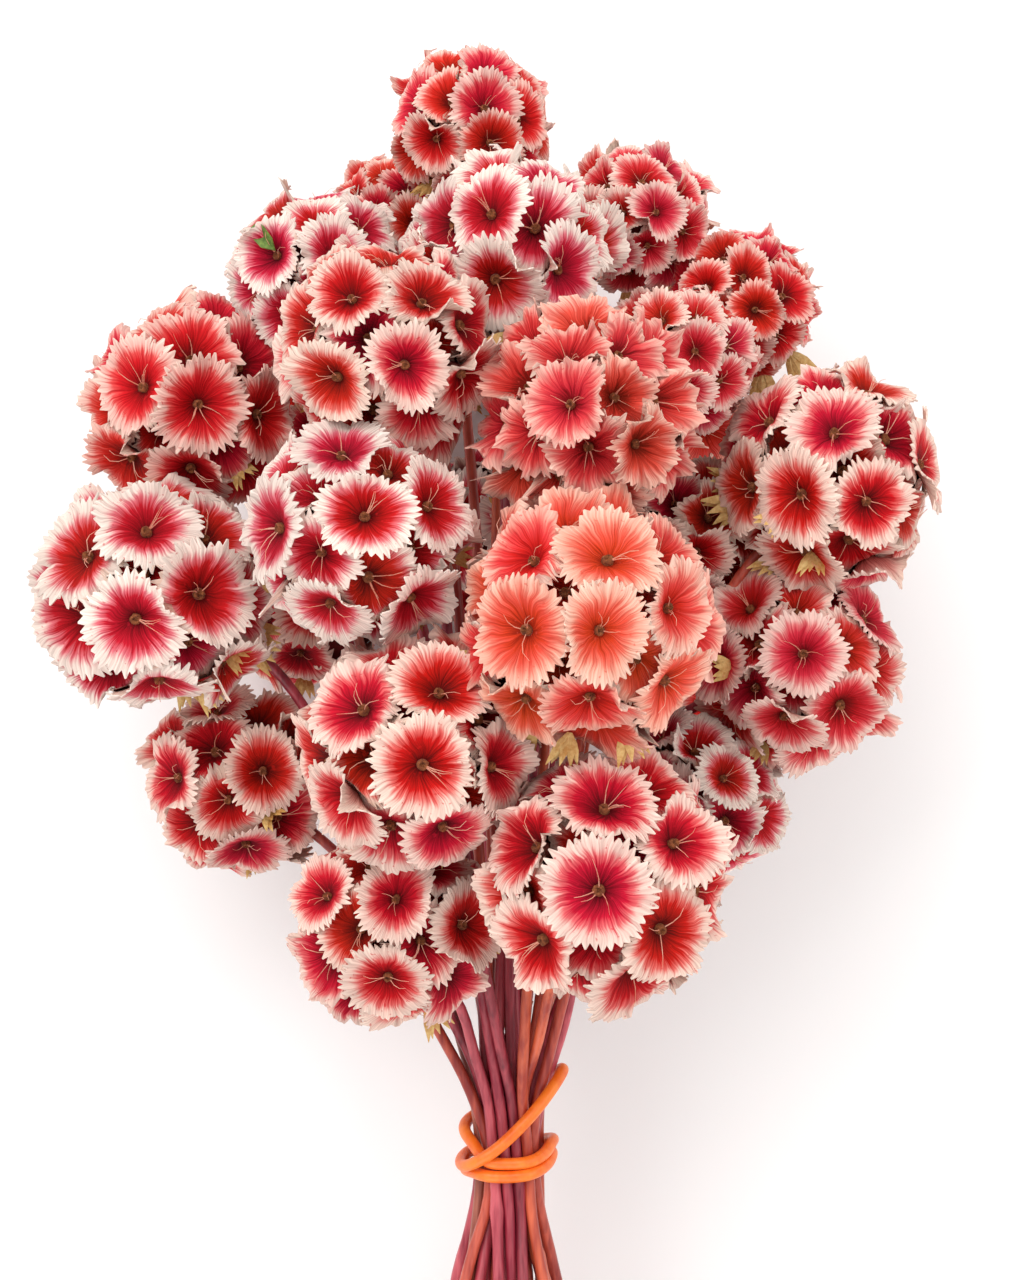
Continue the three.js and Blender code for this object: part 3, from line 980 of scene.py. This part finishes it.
@dataclass
class Pod:
    """One pod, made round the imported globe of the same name."""

    name: str
    look: PodLook
    patterns: Patterns
    finishes: Finishes
    eye_point: Vector
    order: int

    EYE_HEIGHT = 0.77  # the cups' eyes, as a share of the pod's radius
    LEAD_RISE = 0.05  # the lead cups stand this much higher
    TILT = (0.14, 0.10)  # how far a cup leans, and how far a lead cup does
    HEART = 0.70
    SHALLOWEST = 0.5  # nothing is pushed deeper than this share of the radius
    COARSE_BELOW = 40 * MM  # pods whose middle is lower have only coarse cups
    FILLERS = 7  # small cups that fill the widest gaps
    FILLER_SIZE = 0.40
    FILLER_HEIGHT = 0.70
    MOST_ASIDE = 0.97  # a lead cup's eye is no nearer the pod's outline than this
    SETTLING = 160  # steps in which the other cups push each other apart
    PUSH = 0.006
    LONGEST_PUSH = 0.08
    NEAR = 1.3  # cups more radii apart than this don't touch
    TUCK_END = 1.22  # the tuck fades out this many radii from the upper cup's eye
    TUCK_FADE = 0.24
    RINGS = (0.10, 0.34, 0.60, 0.95)
    SECTORS = 20
    GAP = 0.3 * MM  # between a cup and the one tucked under it
    NECK_TASSELS = 5
    CRUMPLE = 0.058

    def __post_init__(self) -> None:
        """Reads the pod's middle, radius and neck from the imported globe."""
        spots = places(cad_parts[f"pod_{self.name}"].data)
        sums = np.column_stack([2 * spots, np.ones(len(spots))])
        trust = np.ones(len(spots))
        for _ in range(20):  # each fit of a sphere trusts the neck's spots less
            fit = np.linalg.lstsq(sums * trust[:, None], (spots ** 2).sum(axis=1) * trust, rcond=None)[0]
            middle = fit[:3]
            solid = math.sqrt(fit[3] + middle @ middle)
            far = np.linalg.norm(spots - middle, axis=1)
            trust = 1 / (1 + ((far - solid) / (0.3 * MM)) ** 2)
        self.middle = middle
        self.radius = solid / POD_SOLID
        self.neck = unit(spots[far > far.max() - 0.4 * MM].mean(axis=0) - middle)
        self.random = np.random.default_rng(100 + self.order)
        self.facing = unit(np.array(self.eye_point) - middle)
        self.right = unit(np.cross(np.array(ALONG), self.facing))
        self.above = np.cross(self.facing, self.right)

    def build(self) -> bpy.types.Object:
        """Makes the pod's one piece.

        Returns:
            The heart, cups and straw tassels, joined.
        """
        cups = self._lay_out()
        self._tuck(cups)
        parts = [self._heart()]
        parts += [self._copy_cup(k, cup) for k, cup in enumerate(cups)]
        parts += self._tassels()
        piece = joined(parts, f"cups_{self.name}")
        for slot in piece.material_slots:
            if slot.material == self.finishes.get(CREAM_EDGED):
                slot.material = self.finishes.get(self.look.palette.value)
        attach(piece, "root")
        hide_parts(f"pod_{self.name}")
        return piece

    def _directions(self) -> tuple[Points, int]:
        """Spreads the cups evenly over the globe, round the lead cups and clear of the neck.

        Returns:
            One unit vector a cup, the leads first, and how many leads there are.
        """
        leads = []
        for lead in self.look.leads:
            side = np.array(lead) / self.EYE_HEIGHT
            side *= min(1.0, self.MOST_ASIDE / max(np.linalg.norm(side), 1e-9))
            leads.append(
                side[0] * self.right + side[1] * self.above + math.sqrt(1 - side @ side) * self.facing
            )
        points = spread(self.look.cups, self.random.uniform(0, TURN))
        for lead in leads:
            points = np.delete(points, np.argmax(points @ lead), axis=0)
        points = np.vstack([np.array(leads).reshape(-1, 3), points, self.neck])
        fixed = len(leads)
        for _ in range(self.SETTLING):
            apart = points[:, None, :] - points[None, :, :]
            far = np.linalg.norm(apart, axis=2) + np.eye(len(points))
            push = (apart / far[:, :, None] ** 4).sum(axis=1) * self.PUSH
            length = np.maximum(np.linalg.norm(push, axis=1), 1e-9)
            push *= np.minimum(1, self.LONGEST_PUSH / length)[:, None]
            points[fixed:-1] = unit(points[fixed:-1] + push[fixed:-1])
        return points[:-1], fixed

    def _lay_out(self) -> list[Placed]:
        """Chooses each cup's pattern, size and place.

        Returns:
            The cups, with those that show best first.
        """
        directions, leads = self._directions()
        shown = directions @ self.facing
        shown[:leads] += 1
        cups = []
        for k in np.argsort(-shown):
            lead = k < leads
            opens = unit(directions[k] + self.random.normal(0, self.TILT[int(lead)], 3))
            level = self._level(opens)
            height = self.EYE_HEIGHT + (self.LEAD_RISE if lead else self.random.uniform(-0.03, 0.02))
            grown = self.random.uniform(*((0.96, 1.08) if lead else (0.95, 1.15)))
            shelf = self.patterns.coarse
            if shown[k] > 0 and self.middle[2] > self.COARSE_BELOW:
                shelf = self.patterns.ruffled if self.look.ruffled else self.patterns.fine
            eye = self.middle + directions[k] * height * self.radius
            cups.append(self._place(eye, opens, level, self.look.size * self.radius * grown, shelf))
        for gap in self._gaps(directions):
            eye = self.middle + gap * self.FILLER_HEIGHT * self.radius
            size = self.FILLER_SIZE * self.radius
            cups.append(self._place(eye, gap, self._level(gap), size, self.patterns.coarse))
        return cups

    def _level(self, opens: Points) -> Points:
        """A chance direction at right angles to the way that a cup opens."""
        return unit(np.cross(opens, self.random.normal(0, 1, 3)))

    def _place(
        self, eye: Points, opens: Points, level: Points, radius: float, shelf: list[Cup],
    ) -> Placed:
        """Places one cup.

        Args:
            eye: Where its eye is.
            opens: The direction that it opens in.
            level: The direction of its own X axis.
            radius: Its radius.
            shelf: The patterns to choose from.

        Returns:
            The cup, crumpled in a way of its own.
        """
        axes = np.array([level, np.cross(opens, level), opens])
        cup = shelf[int(self.random.integers(len(shelf)))]
        return Placed(eye, axes, radius, cup, eye + (self._crumpled(cup.spots) * radius) @ axes)

    def _crumpled(self, spots: Points) -> Points:
        """Squeezes a cup to one side and waves it.

        Args:
            spots: The pattern's places.

        Returns:
            The new places.
        """
        across, along, high = spots.T
        outer = np.clip(across ** 2 + along ** 2, 0, 1)
        phase = self.random.uniform(0, TURN, 3)
        wave = np.sin(2.6 * across + phase[0]) + np.sin(2.9 * along + phase[1])
        wave = wave + 0.6 * np.sin(5.3 * (across + along) + phase[2])
        high = high + self.CRUMPLE * outer * wave
        return np.column_stack([across * self.random.uniform(0.84, 1.04), along, high])

    def _gaps(self, directions: Points) -> list[Points]:
        """Finds the widest gaps between the cups on the side that shows.

        Args:
            directions: Where the cups are.

        Returns:
            The gaps' directions, the widest first.
        """
        tries = spread(600)
        tries = tries[(tries @ self.facing > -0.3) & (tries @ self.neck < 0.7)]
        found: list[Points] = []
        for _ in range(self.FILLERS if self.look.leads else 0):
            near = (tries @ np.vstack([directions, *found]).T).max(axis=1)
            found.append(tries[np.argmin(near)])
        return found

    def _tuck(self, cups: list[Placed]) -> None:
        """Tucks each cup's rim under the cups that come before it, and keeps it off the floor.

        Args:
            cups: The cups, which are bent in place.
        """
        for k, low in enumerate(cups):
            for high in cups[:k]:
                if np.linalg.norm(low.eye - high.eye) > low.radius + self.NEAR * high.radius:
                    continue
                local = (low.spots - high.eye) @ high.axes.T
                out, turn = polar(local)
                out = out / high.radius
                roof = self._roof(high, out, turn) * high.radius - self.GAP
                share = np.clip((self.TUCK_END - out) / self.TUCK_FADE, 0, 1)
                share = share * share * (3 - 2 * share)
                over = np.maximum(local[:, 2] - roof, 0) * share
                low.spots -= over[:, None] * high.axes[2]
            inward = low.spots - self.middle
            far = np.linalg.norm(inward, axis=1)
            shallow = np.maximum(far, self.SHALLOWEST * self.radius)
            low.spots = off_floor(self.middle + inward * (shallow / far)[:, None])
            low.under = self._underside(low)

    def _sector(self, turn: Points) -> Points:
        """The sector of a cup that each turn falls in."""
        return (turn / TURN % 1.0 * self.SECTORS).astype(int) % self.SECTORS

    def _underside(self, cup: Placed) -> Points:
        """Measures how high a cup's underside is.

        Args:
            cup: The cup.

        Returns:
            Its height in each ring and sector, in shares of its radius.
        """
        local = (cup.spots - cup.eye) @ cup.axes.T / cup.radius
        out, turn = polar(local)
        ring = np.abs(out[:, None] - np.array(self.RINGS)).argmin(axis=1)
        under = np.full((len(self.RINGS), self.SECTORS), np.inf)
        rim = out > 0.2
        np.minimum.at(under, (ring[rim], self._sector(turn[rim])), local[rim, 2])
        under = np.minimum(under, np.minimum(np.roll(under, 1, axis=1), np.roll(under, -1, axis=1)))
        under[0] = 0
        level = cup.cup.lift(np.array(self.RINGS))[:, None]
        return np.where(np.isinf(under), level - cup.cup.THICK, under)

    def _roof(self, high: Placed, out: Points, turn: Points) -> Points:
        """Reads a cup's underside over other spots.

        Args:
            high: The cup.
            out: The spots' distances from its axis, in shares of its radius.
            turn: Their turns round its axis.

        Returns:
            How high its underside is over each.
        """
        rings = np.array(self.RINGS)
        sector = self._sector(turn)
        upper = np.clip(np.searchsorted(rings, out), 1, len(rings) - 1)
        share = np.clip((out - rings[upper - 1]) / (rings[upper] - rings[upper - 1]), 0, 1)
        return high.under[upper - 1, sector] * (1 - share) + high.under[upper, sector] * share

    def _copy_cup(self, index: int, placed: Placed) -> bpy.types.Object:
        """Copies a cup's pattern to its place, with its own shade.

        Args:
            index: The cup's number.
            placed: Where it is.

        Returns:
            The copy.
        """
        mesh = placed.cup.model.data.copy()
        set_places(mesh, placed.spots)
        disc = np.empty(len(mesh.vertices) * 3)
        mesh.attributes["disc"].data.foreach_get("vector", disc)
        disc = disc.reshape(-1, 3)
        disc[:, 2] = self.random.uniform(0, 1)
        set_vectors(mesh, "disc", disc)
        tone = (
            self.random.uniform(-0.05, 0.06),  # how far the border moves in
            0.5 + self.random.uniform(-0.006, 0.006),  # hue
            self.random.uniform(0.92, 1.12),  # brightness
        )
        set_vectors(mesh, "tone", np.tile(tone, (len(disc), 1)))
        return new_object(f"cup_{index}", mesh)

    def _heart(self) -> bpy.types.Object:
        """Models the lumpy heart that the cups grow on, dark with painted shade for the gaps between
        them.

        Returns:
            The heart.
        """
        heart = primitive(bpy.ops.mesh.primitive_ico_sphere_add, subdivisions=3, radius=1)
        spots = places(heart.data)
        spots *= 1 + 0.05 * np.sin(9 * spots[:, [1, 2, 0]] + self.order)
        set_places(heart.data, self.middle + spots * self.HEART * self.radius)
        paint(heart, self.finishes.get(HEART))
        choose(heart)
        bpy.ops.object.shade_smooth()
        return heart

    def _tassels(self) -> list[bpy.types.Object]:
        """Makes the straw tassels, and the scrap of leaf where there is one.

        Returns:
            A few tassels round the neck, then those that show past the cups.
        """
        side = unit(np.cross(self.neck, self.facing))
        other = np.cross(self.neck, side)
        made = []
        for k in range(self.NECK_TASSELS):
            turn = TURN * (k + self.random.uniform(-0.3, 0.3)) / self.NECK_TASSELS
            lean = math.radians(self.random.uniform(38, 58))
            round_neck = math.cos(turn) * side + math.sin(turn) * other
            course = math.cos(lean) * self.neck + math.sin(lean) * round_neck
            made.append(self._copy_tassel(course, course, 0.80, self.random.uniform(5.0, 8.0) * MM))
        for across, up in self.look.bracts:
            forward = self.random.uniform(-0.1, 0.15)
            root = unit(across * self.right + up * self.above + forward * self.facing)
            course = unit(root + 0.5 * self.neck + self.random.normal(0, 0.15, 3))
            made.append(self._copy_tassel(root, course, 0.84, self.random.uniform(7.0, 9.0) * MM))
        if self.look.leaf:
            made.append(self._leaf(unit(-0.62 * self.right + 0.42 * self.above + 0.62 * self.facing)))
        return made

    def _leaf(self, root: Points) -> bpy.types.Object:
        """Models a scrap of green leaf, 7.5 mm long, caught between the cups.

        Args:
            root: The direction from the pod's middle to where the scrap sticks.

        Returns:
            The scrap.
        """
        cylinder = bpy.ops.mesh.primitive_cylinder_add
        leaf = primitive(cylinder, vertices=8, radius=0.5, depth=0.06, end_fill_type="TRIFAN")
        spots = places(leaf.data)
        spots[:, 1] *= 0.45 * (1 - 0.7 * spots[:, 0])
        spots[:, 2] += 0.9 * np.abs(spots[:, 1]) - 0.5 * spots[:, 0] ** 2
        level = unit(np.cross(root, np.array(ACROSS)) - 0.5 * np.array(ACROSS))
        axes = np.array([level, unit(np.cross(root, level)), root])
        set_places(leaf.data, self.middle + root * self.radius * 1.02 + spots * 7.5 * MM @ axes)
        paint(leaf, self.finishes.get(LEAF))
        return leaf

    def _copy_tassel(
        self, root: Points, course: Points, height: float, length: float,
    ) -> bpy.types.Object:
        """Copies the tassel to a spot of the globe.

        Args:
            root: The direction of the spot from the pod's middle.
            course: The direction that the tassel points in.
            height: The spot's distance from the middle, as a share of the pod's radius.
            length: The tassel's length in metres.

        Returns:
            The copy.
        """
        level = unit(np.cross(course, self.facing))
        axes = np.array([level, np.cross(course, level), course])
        mesh = self.patterns.tassel.data.copy()
        spots = self.middle + root * (self.radius * height) + (places(mesh) * length) @ axes
        set_places(mesh, off_floor(spots))
        return new_object("tassel", mesh)


# ---------------------------------------------------------------- stems and band


@dataclass
class Stem:
    """One dried stem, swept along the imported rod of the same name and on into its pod's heart."""

    name: str
    pod: Pod
    tint: StemTint
    finishes: Finishes
    order: int

    RING_GAP = 4 * MM  # points closer than this along a rod belong to one ring
    STEP = 3.5 * MM
    FOOT_RADIUS = 1.32 * MM
    TAPER = 0.28 * MM
    JOINT_SWELL = 0.45 * MM
    JOINT_APART = 82 * MM
    NECK_SWELL = 0.9 * MM
    SWAY = 0.18 * MM
    SHEATH_EVERY = 4  # one joint in four has kept its sheath

    def __post_init__(self) -> None:
        """Seeds the stem's own unevenness."""
        self.random = np.random.default_rng(300 + self.order)

    def course(self) -> Points:
        """Finds the stem's centre line from the rod's rings.

        Returns:
            Its places at even steps, from the cut end to the heart.
        """
        spots = places(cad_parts[f"stem_{self.name}"].data)
        spots = spots[np.argsort(spots[:, 1])]
        cuts = np.flatnonzero(np.diff(spots[:, 1]) > self.RING_GAP) + 1
        line = [np.unique(np.round(ring, 6), axis=0).mean(axis=0) for ring in np.split(spots, cuts)]
        root = self.pod.middle + self.pod.neck * self.pod.radius * self.pod.HEART * 0.85
        line = np.array([*line, root])
        along = np.concatenate([[0], np.cumsum(np.linalg.norm(np.diff(line, axis=0), axis=1))])
        even = np.linspace(0, along[-1], int(along[-1] / self.STEP) + 1)
        return np.column_stack([self._smooth(along, line[:, k], even) for k in range(3)])

    @staticmethod
    def _smooth(at: Points, values: Points, wanted: Points) -> Points:
        """Draws a smooth curve through values, by Catmull and Rom's rule.

        Args:
            at: How far along the line each value is.
            values: The values.
            wanted: How far along the line the curve is read.

        Returns:
            The curve's values there.
        """
        slope = np.gradient(values, at)
        k = np.clip(np.searchsorted(at, wanted, side="right") - 1, 0, len(at) - 2)
        width = at[k + 1] - at[k]
        t = (wanted - at[k]) / width
        return (
            (2 * t ** 3 - 3 * t ** 2 + 1) * values[k] + (t ** 3 - 2 * t ** 2 + t) * width * slope[k]
            + (3 * t ** 2 - 2 * t ** 3) * values[k + 1] + (t ** 3 - t ** 2) * width * slope[k + 1]
        )

    def build(self) -> bpy.types.Object:
        """Makes the stem.

        Returns:
            A tapered stalk with swollen joints, papery sheaths and a cut end.
        """
        line = self.course()
        far = np.arange(len(line)) * self.STEP
        total = far[-1]
        thick = self.FOOT_RADIUS - self.TAPER * far / total
        joints = np.arange(self.random.uniform(18, 60) * MM, total - 60 * MM, self.JOINT_APART)
        for joint in joints:
            thick = thick + self.JOINT_SWELL * np.exp(-(((far - joint) / (2.2 * MM)) ** 2))
        thick = thick + self.NECK_SWELL * np.exp(-(((total - far) / (4 * MM)) ** 2))
        sheaths = [
            self._sheath(line, int(joint / self.STEP))
            for count, joint in enumerate(joints) if (self.order + count) % self.SHEATH_EVERY == 0
        ]
        piece = joined([self._stalk(line, far, thick), *sheaths], f"stalk_{self.name}")
        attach(piece, "root")
        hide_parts(f"stem_{self.name}")
        return piece

    def _stalk(self, line: Points, far: Points, thick: Points) -> bpy.types.Object:
        """Sweeps the stalk.

        Args:
            line: Its centre line.
            far: How far along it each point is.
            thick: The stalk's radius at each point.

        Returns:
            The stalk, with a pale cut end.
        """
        deselect()
        bpy.ops.curve.primitive_nurbs_path_add()
        curve = bpy.context.object.data
        curve.splines.clear()
        spline = curve.splines.new("POLY")
        spline.points.add(len(line) - 1)
        sway = self.SWAY * np.sin(far / (14 * MM) + self.order)
        for k, point in enumerate(spline.points):
            point.co = (line[k, 0] + sway[k] * 0.6, line[k, 1], line[k, 2], 1)
            point.radius = thick[k] / MM
        curve.dimensions = "3D"
        curve.bevel_depth = MM
        curve.bevel_resolution = 3
        curve.use_fill_caps = True
        bpy.ops.object.convert(target="MESH")
        stalk = bpy.context.object
        paint(stalk, self.finishes.get(self.tint.value), self.finishes.get(CUT))
        for face in stalk.data.polygons:
            face.material_index = int(len(face.vertices) > 4 and face.center.y < line[2, 1])
        set_places(stalk.data, off_floor(places(stalk.data)))
        return smooth(stalk)

    def _sheath(self, line: Points, at: int) -> bpy.types.Object:
        """Models the dry brown sheath round one joint, with a torn edge.

        Args:
            line: The stem's centre line.
            at: The point of the line that the joint is at.

        Returns:
            The sheath.
        """
        sheath = primitive(
            bpy.ops.mesh.primitive_cylinder_add,
            vertices=12, radius=1.5 * MM, depth=0.8 * MM, end_fill_type="NGON",
        )
        grow(sheath, 1.6 * MM, [(1.12, 1.12)])
        spots = places(sheath.data)
        spots += self.random.uniform(-0.16, 0.16, spots.shape) * MM
        edge = spots[:, 2] > MM
        spots[edge, 2] += self.random.uniform(-0.7, 0.9, int(edge.sum())) * MM
        course = unit(line[at + 1] - line[at])
        level = unit(np.cross(course, np.array(UPWARD)))
        set_places(sheath.data, line[at] + spots @ np.array([level, np.cross(course, level), course]))
        paint(sheath, self.finishes.get(SHEATH))
        return smooth(sheath, 70)


@dataclass
class Band:
    """The rubber band: a satin cord wound three times round the stems."""

    finishes: Finishes

    FULLER = 0.2 * MM  # makes up for what smoothing takes off, so that the cord grips the stems

    def build(self) -> bpy.types.Object:
        """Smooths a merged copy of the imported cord.

        Returns:
            The band.
        """
        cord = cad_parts["rubber_band"].copy()
        cord.data = cord.data.copy()
        for key in list(cord.keys()):  # the copy is a piece of its own, without the node's marks
            del cord[key]
        cord.parent = None
        bpy.context.scene.collection.objects.link(cord)
        with editing(cord, "VERT", all_of_it=True):
            bpy.ops.mesh.remove_doubles(threshold=0.02 * MM)
            bpy.ops.mesh.tris_convert_to_quads(
                face_threshold=math.radians(60), shape_threshold=math.radians(80),
            )
        choose(cord)
        rounding = cord.modifiers.new("rounding", "SUBSURF")
        rounding.levels = rounding.render_levels = 2
        bpy.ops.object.modifier_apply(modifier=rounding.name)
        with editing(cord, "VERT", all_of_it=True):
            bpy.ops.transform.shrink_fatten(value=self.FULLER)
        paint(cord, self.finishes.get(RUBBER))
        piece = joined([cord], "rubber_cord")
        bpy.ops.object.shade_smooth()
        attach(piece, "root")
        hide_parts("rubber_band")
        return piece


# ---------------------------------------------------------------- studio


@dataclass
class Studio:
    """A pale floor, soft lights and the camera that looks down on the bunch."""

    tie: Vector  # the middle of the band

    LENS = 85.0
    SENSOR = 36.0
    DISTANCE = 620 * MM
    AIM = 104.5 * MM  # the camera looks at a spot this far up the bunch from the tie
    ROOM = 0.82  # the strength of the light that comes from all round

    def target(self) -> Vector:
        """The spot that the camera looks at."""
        return self.tie + ALONG * self.AIM

    def eye_point(self) -> Vector:
        """Where the camera stands."""
        return self.target() + UPWARD * self.DISTANCE

    def build(self) -> None:
        """Makes the camera, the lights and the floor."""
        data = bpy.data.cameras.new("camera")
        data.lens = self.LENS
        data.sensor_width = self.SENSOR
        camera = new_object("camera", data)
        turn = Matrix((ACROSS, ALONG, UPWARD)).transposed().to_4x4()
        camera.matrix_world = Matrix.Translation(self.eye_point()) @ turn
        bpy.context.scene.camera = camera
        self._light("key", (-0.5, 0.65, 1.0), 1.2, 11)
        self._light("fill", (0.75, 0.1, 0.8), 0.9, 2.5)
        self._light("low", (-0.2, -0.8, 0.5), 0.7, 2)
        world = bpy.data.worlds.new("soft_room")
        world.use_nodes = True
        room = world.node_tree.nodes["Background"].inputs
        room["Color"].default_value = linear("#FFFFFF")
        room["Strength"].default_value = self.ROOM
        bpy.context.scene.world = world
        bpy.context.scene.view_settings.view_transform = "Standard"
        floor = primitive(bpy.ops.mesh.primitive_plane_add, size=6, location=(0, 0, -FLOOR_GAP))
        floor.name = "floor"
        material, _, shader = new_material("matt_white_board")
        shader.inputs["Base Color"].default_value = linear("#FDFCFB")
        shader.inputs["Roughness"].default_value = 0.9
        paint(floor, material)

    def _light(self, name: str, place: tuple[float, float, float], size: float, power: float) -> None:
        """Adds one soft box that shines at the bunch.

        Args:
            name: Its name.
            place: Its place from the spot that the camera looks at.
            size: Its width in metres.
            power: Its power in watts.
        """
        data = bpy.data.lights.new(name, "AREA")
        data.size = size
        data.energy = power
        lamp = new_object(name, data)
        lamp.location = self.target() + Vector(place)
        lamp.rotation_mode = "QUATERNION"
        lamp.rotation_quaternion = (self.target() - lamp.location).to_track_quat("-Z", "Y")


TINT_ORDER = (0, 2, 1, 0, 3, 1, 2, 0, 1, 4, 0, 2, 1, 3)  # so that neighbouring stems differ


def main() -> None:
    """Builds the studio, the pods with their stems, and the band, and reports each."""
    logging.basicConfig(level=logging.INFO, format="%(message)s")
    low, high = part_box("rubber_band")
    studio = Studio((low + high) / 2 - ALONG * BAND_RISE)
    studio.build()
    finishes = Finishes()
    patterns = Patterns(finishes)
    tints = list(StemTint)
    for order, (name, look) in enumerate(LOOKS.items()):
        pod = Pod(name, look, patterns, finishes, studio.eye_point(), order)
        piece = pod.build()
        stem = Stem(name, pod, tints[TINT_ORDER[order % len(TINT_ORDER)]], finishes, order).build()
        LOG.info("%s: %d faces; %s: %d faces", piece.name, len(piece.data.polygons),
                 stem.name, len(stem.data.polygons))
    band = Band(finishes).build()
    LOG.info("%s: %d faces", band.name, len(band.data.polygons))
    patterns.remove()


if __name__ == "__main__":
    main()
